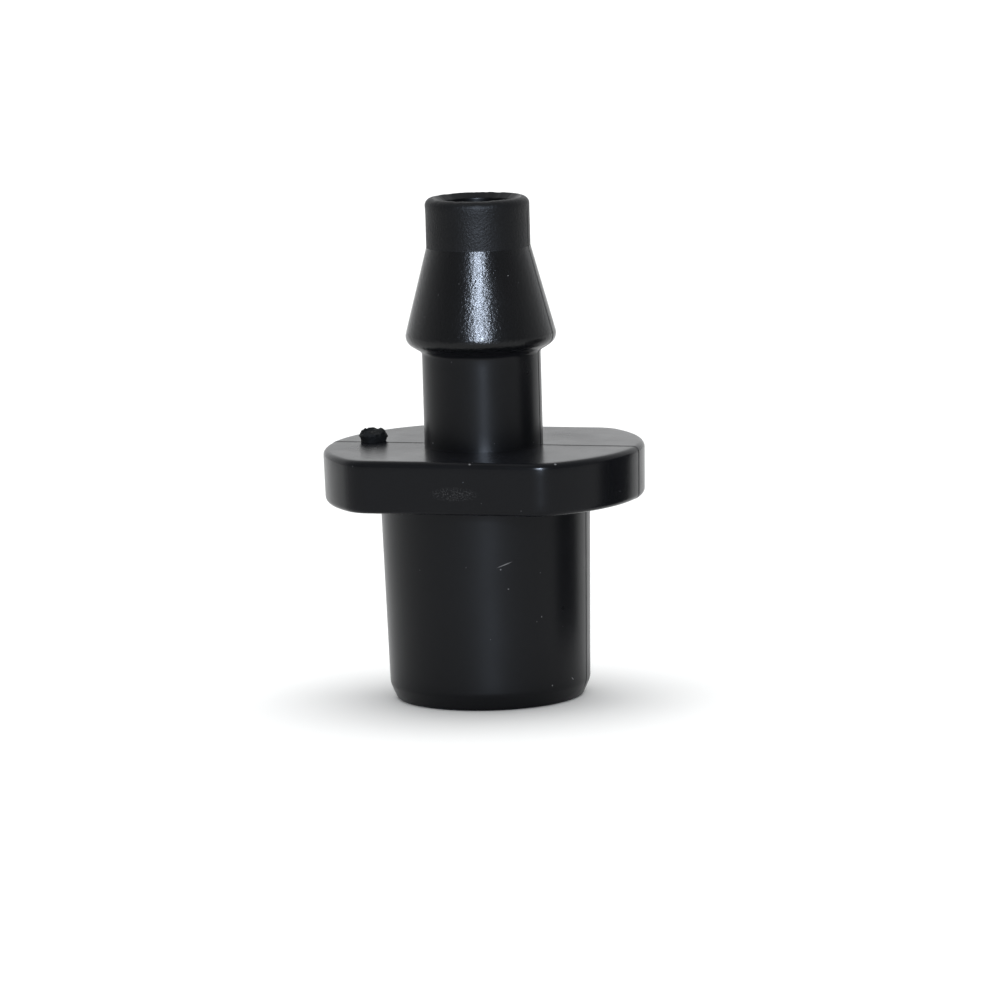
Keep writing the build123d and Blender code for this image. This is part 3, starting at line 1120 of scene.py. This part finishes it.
@dataclass
class LabyrinthCore:
    """The plug whose toothed channel breaks the water's pressure. Millimetres and degrees."""

    radius: float
    top: float
    base: float
    cup_radius: float = 2.55
    cup_floor: float = 7.35
    rib_height: float = 0.14
    rib_width: float = 0.4
    rib_inner: float = 1.15
    ribs: int = 3
    rib_turn: float = 60
    boss_radius: float = 0.85
    boss_height: float = 0.1
    notches: int = 4
    notch_width: float = 0.8
    notch_depth: float = 0.6
    lane_bottoms: tuple[float, ...] = (3.2, 5.3)
    lane_height: float = 1.5
    lane_depth: float = 0.55
    lane_start: float = 20
    lane_sweep: float = 320
    teeth: int = 12
    tooth_width: float = 0.42
    tooth_reach: float = 0.62
    port_radius: float = 0.3
    riser_offset: float = 1.75
    outlet_radius: float = 0.5
    socket_radius: float = 1.2
    socket_height: float = 0.8

    COLUMNS = 720
    EDGE = 0.03
    FEED_SHARE = 0.5
    RISER_DEPTH = 1.2

    @property
    def feed_angle(self) -> float:
        """Direction of the feed groove, the port and the riser, in radians."""
        return math.radians(self.lane_start) + math.asin(self.port_radius / self.radius)

    @property
    def link_angle(self) -> float:
        """Direction of the link between the two lanes, in radians."""
        return math.radians(self.lane_start + self.lane_sweep) - math.asin(self.port_radius / self.radius)

    def build(self) -> None:
        """Makes the core."""
        profile = Profile(
            (
                Corner(self.socket_radius, self.base, 0.05),
                Corner(self.radius, self.base, 0.06),
                Corner(self.radius, self.top, 0.05),
                Corner(self.cup_radius, self.top, 0.05),
                Corner(self.cup_radius, self.cup_floor, 0.08),
                Corner(self.outlet_radius, self.cup_floor, 0.04),
                Corner(self.outlet_radius, self.base + self.socket_height, 0),
                Corner(self.socket_radius, self.base + self.socket_height, 0.05),
            ),
            step=0.06,
        )
        skin = TurnedSkin(
            "labyrinth_plug", profile, even_columns(self.COLUMNS), (BLUE_ACETAL,), self._relief, crease=40
        )
        settle(skin.build(), Body.CARTRIDGE, "core_natural", "labyrinth_core")

    def _relief(self, station: Station, angles: np.ndarray) -> tuple[np.ndarray, np.ndarray]:
        """Shapes one ring: the channel outside, the notches in the rim and the cup's floor.

        Args:
            station: the ring.
            angles: the columns' angles, in radians.

        Returns:
            Its radii and heights.
        """
        radii, heights = station.ring(angles)
        if station.radius > self.radius - WALL_MARGIN:
            radii = radii - self.lane_depth * self._channel(station.height, angles)
        notch_floor = self.top - self.notch_depth
        if station.radius > self.cup_radius - WALL_MARGIN and station.height > notch_floor:
            heights = notch_floor + (station.height - notch_floor) * (1 - FOLD_SHARE * self._notch(angles))
        if abs(station.height - self.cup_floor) < LEVEL_MARGIN and station.radius < self.cup_radius:
            heights = heights + self._floor(station.radius, angles)
        return radii, heights

    def _round_from(self, angles: np.ndarray, middle: float, half_width: float) -> np.ndarray:
        """Where the outside lies within half_width of a direction, measured round it, from 0 to 1."""
        return window(self.radius * turned_by(angles, middle), half_width, self.EDGE)

    def _channel(self, height: float, angles: np.ndarray) -> np.ndarray:
        """How much of the channel's depth is cut at one height, from 0 to 1.

        Args:
            height: height above the skirt's base.
            angles: the columns' angles, in radians.

        Returns:
            The share for each column.
        """
        start, sweep = math.radians(self.lane_start), math.radians(self.lane_sweep)
        swept = self._round_from(angles, start + sweep / 2, self.radius * sweep / 2)
        cut = np.zeros(len(angles))
        for bottom in self.lane_bottoms:
            level = at_level(height - bottom - self.lane_height / 2, self.lane_height / 2, self.EDGE)
            lane = level * swept * (1 - self._teeth(height - bottom, angles))
            cut = np.maximum(cut, lane)
        low, high = self.lane_bottoms[0], self.lane_bottoms[-1] + self.lane_height
        linked = at_level(height - (low + high) / 2, (high - low) / 2, self.EDGE)
        link = linked * self._round_from(angles, self.link_angle, self.port_radius)
        fed = self.FEED_SHARE * float(height > self.lane_bottoms[-1])
        feed = fed * self._round_from(angles, self.feed_angle, self.port_radius)
        return np.maximum.reduce([cut, link, feed])

    def _teeth(self, height: float, angles: np.ndarray) -> np.ndarray:
        """Where the teeth of a lane stand at a height above its floor, from 0 to 1.

        Args:
            height: height above the lane's floor.
            angles: the columns' angles, in radians.

        Returns:
            The share for each column.
        """
        reach = self.tooth_reach * self.lane_height
        pitch = math.radians(self.lane_sweep) / (self.teeth + 1)
        standing = np.zeros(len(angles))
        for tooth in range(self.teeth):
            from_below = tooth % 2 == 0
            middle = reach / 2 if from_below else self.lane_height - reach / 2
            level = at_level(height - middle, reach / 2, self.EDGE)
            place = math.radians(self.lane_start) + (tooth + 1) * pitch
            standing = np.maximum(standing, level * self._round_from(angles, place, self.tooth_width / 2))
        return standing

    def _notch(self, angles: np.ndarray) -> np.ndarray:
        """Where the rim is notched, from 0 to 1.

        Args:
            angles: the columns' angles, in radians.

        Returns:
            The share for each column.
        """
        notched = np.zeros(len(angles))
        for notch in range(self.notches):
            place = self.feed_angle + 2 * math.pi * notch / self.notches
            notched = np.maximum(notched, self._round_from(angles, place, self.notch_width / 2))
        return notched

    def _floor(self, radius: float, angles: np.ndarray) -> np.ndarray:
        """Height of the cup's floor above its level: the boss, the ribs and the riser's mouth.

        Args:
            radius: distance from the axis.
            angles: the columns' angles, in radians.

        Returns:
            The height at each column.
        """
        boss = self.boss_height * at_level(radius, self.boss_radius, self.EDGE)
        rise = np.full(len(angles), boss)
        for rib in range(self.ribs):
            place = self.feed_angle + math.radians(self.rib_turn) + 2 * math.pi * rib / self.ribs
            turn = turned_by(angles, place)
            beside = window(radius * np.sin(turn), self.rib_width / 2, self.EDGE) * (np.cos(turn) > 0)
            if radius > self.rib_inner:
                rise = np.maximum(rise, self.rib_height * beside)
        x = radius * np.cos(angles) - self.riser_offset * math.cos(self.feed_angle)
        y = radius * np.sin(angles) - self.riser_offset * math.sin(self.feed_angle)
        return rise - self.RISER_DEPTH * window(np.hypot(x, y), self.port_radius, self.EDGE)


@dataclass
class CoreSeal:
    """The O-ring between the core and the cap's shoulder, with its mould's flash line. Millimetres."""

    outer_radius: float
    bottom: float
    top: float
    flash: float = 0.012

    COLUMNS = 256
    SECTION_STEPS = 40
    FLASH_SPREAD = 0.12

    def build(self) -> None:
        """Makes the ring."""
        section = (self.top - self.bottom) / 2
        middle, level = self.outer_radius - section, (self.top + self.bottom) / 2
        turns = [2 * math.pi * step / self.SECTION_STEPS for step in range(self.SECTION_STEPS)]
        corners = []
        for turn in turns:
            proud = math.exp(-((math.sin(turn) / self.FLASH_SPREAD) ** 2)) * (math.cos(turn) < 0)
            reach = section + self.flash * proud
            corners.append(Corner(middle + reach * math.cos(turn), level + reach * math.sin(turn)))
        skin = TurnedSkin("o_ring", Profile(corners, step=1.0), even_columns(self.COLUMNS), (EPDM,))
        settle(skin.build(), Body.CARTRIDGE, "seal_rubber", "core_seal")


@dataclass
class OutletCap:
    """The cap that closes the skirt, with its drip nozzle, grip bar and two notches. Millimetres."""

    radius: float
    base: float
    top: float
    shoulder: float = 1.8
    edge: float = 0.12
    recess_radius: float = 2.3
    recess_top: float = 1.1
    nozzle_radius: float = 1.0
    outlet_radius: float = 0.5
    spigot_radius: float = 1.95
    spigot_top: float = 2.8
    pilot_radius: float = 1.19
    bar_width: float = 0.5
    notch_width: float = 1.2
    notch_height: float = 0.5

    COLUMNS = 480

    def build(self) -> None:
        """Makes the cap."""
        profile = Profile(
            (
                Corner(self.outlet_radius, self.base, 0.08),
                Corner(self.nozzle_radius, self.base, 0.15),
                Corner(self.nozzle_radius, self.recess_top, 0.08),
                Corner(self.recess_radius, self.recess_top, 0.08),
                Corner(self.recess_radius, self.base, 0.06),
                Corner(self.radius, self.base, self.edge),
                Corner(self.radius, self.shoulder, 0.05),
                Corner(self.spigot_radius, self.shoulder, 0.05),
                Corner(self.spigot_radius, self.spigot_top, 0.08),
                Corner(self.pilot_radius, self.spigot_top, 0.03),
                Corner(self.pilot_radius, self.top, 0.08),
                Corner(self.outlet_radius, self.top, 0.05),
            ),
            step=0.08,
        )
        skin = TurnedSkin(
            "drip_cap", profile, even_columns(self.COLUMNS), (SATIN_POLYPROPYLENE,), self._relief, crease=40
        )
        settle(skin.build(), Body.CARTRIDGE, "cap_black", "outlet_cap")

    def _relief(self, station: Station, angles: np.ndarray) -> tuple[np.ndarray, np.ndarray]:
        """Shapes one ring: the grip bar across the recess and the notches in the rim.

        Args:
            station: the ring.
            angles: the columns' angles, in radians.

        Returns:
            Its radii and heights.
        """
        radii, heights = station.ring(angles)
        in_recess = self.nozzle_radius - WALL_MARGIN <= station.radius <= self.recess_radius + WALL_MARGIN
        if in_recess and station.height <= self.recess_top:
            bar = window(station.radius * np.sin(angles), self.bar_width / 2)
            return radii, self.base + (station.height - self.base) * (1 - FOLD_SHARE * bar)
        notch_top = self.base + self.notch_height
        if station.radius > self.recess_radius and station.height < notch_top:
            notch = window(station.radius * np.cos(angles), self.notch_width / 2)
            return radii, notch_top - (notch_top - station.height) * (1 - FOLD_SHARE * notch)
        return radii, heights


@dataclass
class Diaphragm:
    """The silicone disc that closes the valve seat, with a soft edge and a shallow dish in its underside.
    Millimetres.
    """

    radius: float
    bottom: float
    top: float
    dish: float = 0.05
    edge: float = 0.14

    COLUMNS = 256
    DISH_SHARE, RIM_SHARE = 0.5, 0.55

    def build(self) -> None:
        """Makes the disc."""
        profile = Profile(
            (
                Corner(0, self.bottom + self.dish),
                Corner(self.radius * self.DISH_SHARE, self.bottom + self.dish, 0.1),
                Corner(self.radius * self.RIM_SHARE, self.bottom, 0.05),
                Corner(self.radius, self.bottom, self.edge),
                Corner(self.radius, self.top, self.edge),
                Corner(0, self.top),
            ),
            step=0.15,
            closed=False,
        )
        skin = TurnedSkin("silicone_disc", profile, even_columns(self.COLUMNS), (SILICONE,))
        settle(skin.build(), Body.DIAPHRAGM, "silicone", "diaphragm")


# --- Studio -----------------------------------------------------------------------------------------


@dataclass
class Studio:
    """A pale floor, soft light and the camera. Metres and degrees unless a name says otherwise."""

    azimuth: float = 17.0
    distance: float = 0.240
    camera_height: float = 0.0449
    aim_right_mm: float = 0.57
    aim_height_mm: float = 7.62
    roll: float = 1.6
    lens_mm: float = 225.4
    floor_radius: float = 2.5
    floor_colour: str = "f4f4f3"
    world_colour: str = "fdfeff"
    front_strength: float = 0.38
    back_strength: float = 1.05
    front_end: float = -0.7
    back_end: float = 0.95
    key_elevation: float = 22.5
    key_turn: float = -1.0
    key_distance: float = 0.9
    key_size: tuple[float, float] = (0.17, 0.1)
    key_power: float = 17.0
    key_colour: str = "dceaff"
    strip_elevation: float = 8.0
    strip_turn: float = 2.0
    strip_size: tuple[float, float] = (0.07, 0.24)
    strip_power: float = 5.5
    flag_colour: str = "060606"
    flag_turn: float = 91.0
    flag_distance_mm: float = 14.0
    flag_size_mm: tuple[float, float] = (9.0, 12.0)
    top_power: float = 10.0
    top_size: float = 1.2
    top_height: float = 1.0
    top_back: float = 0.1
    light_aim_height: float = 0.012

    FLOOR_SIDES = 96
    CARD_ROUGHNESS = 0.9
    FLOOR_SPECULAR = 0.1
    FLAG_SPECULAR = 0.5
    SENSOR_MM = 36.0
    NEAREST, FARTHEST = 0.01, 20.0

    def build(self) -> None:
        """Sets up the floor, the light, the camera and the plain colour transform."""
        self._floor()
        self._flag()
        self._world()
        self._lights()
        self._camera()
        bpy.context.scene.view_settings.view_transform = "Standard"

    def _floor(self) -> None:
        """A wide disc of matt card under the emitter."""
        points = [
            (self.floor_radius / MM * math.cos(turn), self.floor_radius / MM * math.sin(turn), 0.0)
            for turn in even_columns(self.FLOOR_SIDES)
        ]
        floor = make_piece("floor_card", points, [tuple(range(self.FLOOR_SIDES))], (), [0], 30)
        floor.data.materials.append(self._card("card_matt_white", self.floor_colour, self.FLOOR_SPECULAR))

    def _flag(self) -> None:
        """A small black card beside the emitter, which only its gloss sees, as a dark band at its right."""
        turn = math.radians(self.azimuth - 90 + self.flag_turn)
        wide, tall = self.flag_size_mm
        points = []
        for side in (-1, 1):
            x = self.flag_distance_mm * math.cos(turn) - side * wide / 2 * math.sin(turn)
            y = self.flag_distance_mm * math.sin(turn) + side * wide / 2 * math.cos(turn)
            points += [(x, y, 0.0), (x, y, tall)]
        flag = make_piece("black_flag", points, [(0, 1, 3, 2)], (), [0], 30)
        flag.data.materials.append(self._card("card_matt_black", self.flag_colour, self.FLAG_SPECULAR))
        flag.visible_camera = flag.visible_diffuse = flag.visible_shadow = False

    def _card(self, name: str, colour: str, specular: float) -> bpy.types.Material:
        """Plain matt card.

        Args:
            name: the card's name.
            colour: its sRGB hex colour.
            specular: its specular level.

        Returns:
            The material.
        """
        material = bpy.data.materials.new(name)
        material.use_nodes = True
        shader = material.node_tree.nodes["Principled BSDF"]
        shader.inputs["Base Color"].default_value = linear(colour)
        shader.inputs["Roughness"].default_value = self.CARD_ROUGHNESS
        shader.inputs["Specular IOR Level"].default_value = specular
        return material

    def _world(self) -> None:
        """A pale surround, bright behind the emitter and dimmer on the camera's side."""
        world = bpy.data.worlds.new("pale_surround")
        world.use_nodes = True
        tree = world.node_tree
        background = tree.nodes["Background"]
        background.inputs["Color"].default_value = linear(self.world_colour)
        direction = add_node(tree, "ShaderNodeTexCoord").outputs["Generated"]
        backness = add_node(
            tree,
            "ShaderNodeVectorMath",
            {"operation": "DOT_PRODUCT", 1: tuple(-self._towards(0, 0))},
            {0: direction},
        )
        strength = add_node(
            tree,
            "ShaderNodeMapRange",
            {
                "interpolation_type": "SMOOTHSTEP",
                "From Min": self.front_end,
                "From Max": self.back_end,
                "To Min": self.front_strength,
                "To Max": self.back_strength,
            },
            {"Value": backness.outputs["Value"]},
        )
        tree.links.new(strength.outputs["Result"], background.inputs["Strength"])
        bpy.context.scene.world = world

    def _lights(self) -> None:
        """A soft box that glints on the barb's cone, a low strip for the walls and a broad box overhead."""
        aim = Vector((0, 0, self.light_aim_height))
        gloss_only = (
            ("key_soft_box", self.key_turn, self.key_elevation, self.key_size, self.key_power),
            ("low_strip_box", self.strip_turn, self.strip_elevation, self.strip_size, self.strip_power),
        )
        for name, turn, elevation, size, power in gloss_only:
            place = aim + self._towards(turn, elevation) * self.key_distance
            self._area(name, place, aim, size, power, self.key_colour).visible_diffuse = False
        above, square = Vector((0, self.top_back, self.top_height)), (self.top_size, self.top_size)
        top = self._area("top_soft_box", above, aim, square, self.top_power, self.world_colour)
        top.visible_glossy = False

    def _towards(self, turn: float, elevation: float) -> Vector:
        """Direction of a light, turned from the camera's side to the right and raised, in degrees."""
        side, rise = math.radians(self.azimuth + turn), math.radians(elevation)
        return Vector((math.sin(side) * math.cos(rise), -math.cos(side) * math.cos(rise), math.sin(rise)))

    def _area(
        self, name: str, place: Vector, aim: Vector, size: tuple[float, float], power: float, colour: str
    ) -> bpy.types.Object:
        """Adds one rectangular light.

        Args:
            name: its name.
            place: where it stands.
            aim: the point that it faces.
            size: its width and height.
            power: its power in watts.
            colour: its sRGB hex colour.

        Returns:
            The light's object.
        """
        data = bpy.data.lights.new(name, "AREA")
        data.shape, data.size, data.size_y, data.energy = "RECTANGLE", size[0], size[1], power
        data.color = linear(colour)[:3]
        light = bpy.data.objects.new(name, data)
        light.location = place
        light.rotation_mode = "QUATERNION"
        light.rotation_quaternion = (aim - place).to_track_quat("-Z", "Y")
        bpy.context.scene.collection.objects.link(light)
        return light

    def _camera(self) -> None:
        """A long lens a little above the flange, rolled as the emitter leans."""
        turn = math.radians(self.azimuth)
        right = Vector((math.cos(turn), math.sin(turn), 0))
        place = Vector((math.sin(turn) * self.distance, -math.cos(turn) * self.distance, self.camera_height))
        aim = right * self.aim_right_mm * MM + Vector((0, 0, self.aim_height_mm * MM))
        data = bpy.data.cameras.new("studio_camera")
        data.lens, data.sensor_width = self.lens_mm, self.SENSOR_MM
        data.clip_start, data.clip_end = self.NEAREST, self.FARTHEST
        camera = bpy.data.objects.new("studio_camera", data)
        camera.location = place
        camera.rotation_mode = "QUATERNION"
        look = (aim - place).to_track_quat("-Z", "Y")
        camera.rotation_quaternion = look @ Matrix.Rotation(math.radians(-self.roll), 3, "Z").to_quaternion()
        bpy.context.scene.collection.objects.link(camera)
        bpy.context.scene.camera = camera


# --- Making it --------------------------------------------------------------------------------------


@dataclass(frozen=True)
class NodeBox:
    """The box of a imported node, in millimetres."""

    low: tuple[float, float, float]
    high: tuple[float, float, float]

    @classmethod
    def of(cls, node: str) -> "NodeBox":
        """Reads a node's box from the frame."""
        low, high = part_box(node)
        return cls(tuple(low / MM), tuple(high / MM))


def main() -> None:
    """Builds every sub-assembly and the studio."""
    logging.basicConfig(level=logging.INFO, format="%(name)s: %(message)s")
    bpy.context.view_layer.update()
    body, strainer, core = map(NodeBox.of, ("emitter_body", "inlet_strainer", "labyrinth_core"))
    seal, cap, disc = map(NodeBox.of, ("core_seal", "outlet_cap", "diaphragm"))
    makers = (
        EmitterBody(height=body.high[2], flange_radius=6.24, half_flats=4.95),
        InletStrainer(rim_radius=strainer.high[0], top=strainer.high[2], bottom=strainer.low[2]),
        Diaphragm(radius=disc.high[0], bottom=disc.low[2], top=disc.high[2]),
        LabyrinthCore(radius=core.high[0], top=core.high[2], base=core.low[2]),
        CoreSeal(outer_radius=seal.high[0], bottom=seal.low[2], top=seal.high[2]),
        OutletCap(radius=cap.high[0], base=cap.low[2], top=cap.high[2]),
        Studio(),
    )
    for maker in makers:
        log.info("building %s", type(maker).__name__)
        maker.build()


if __name__ == "__main__":
    main()
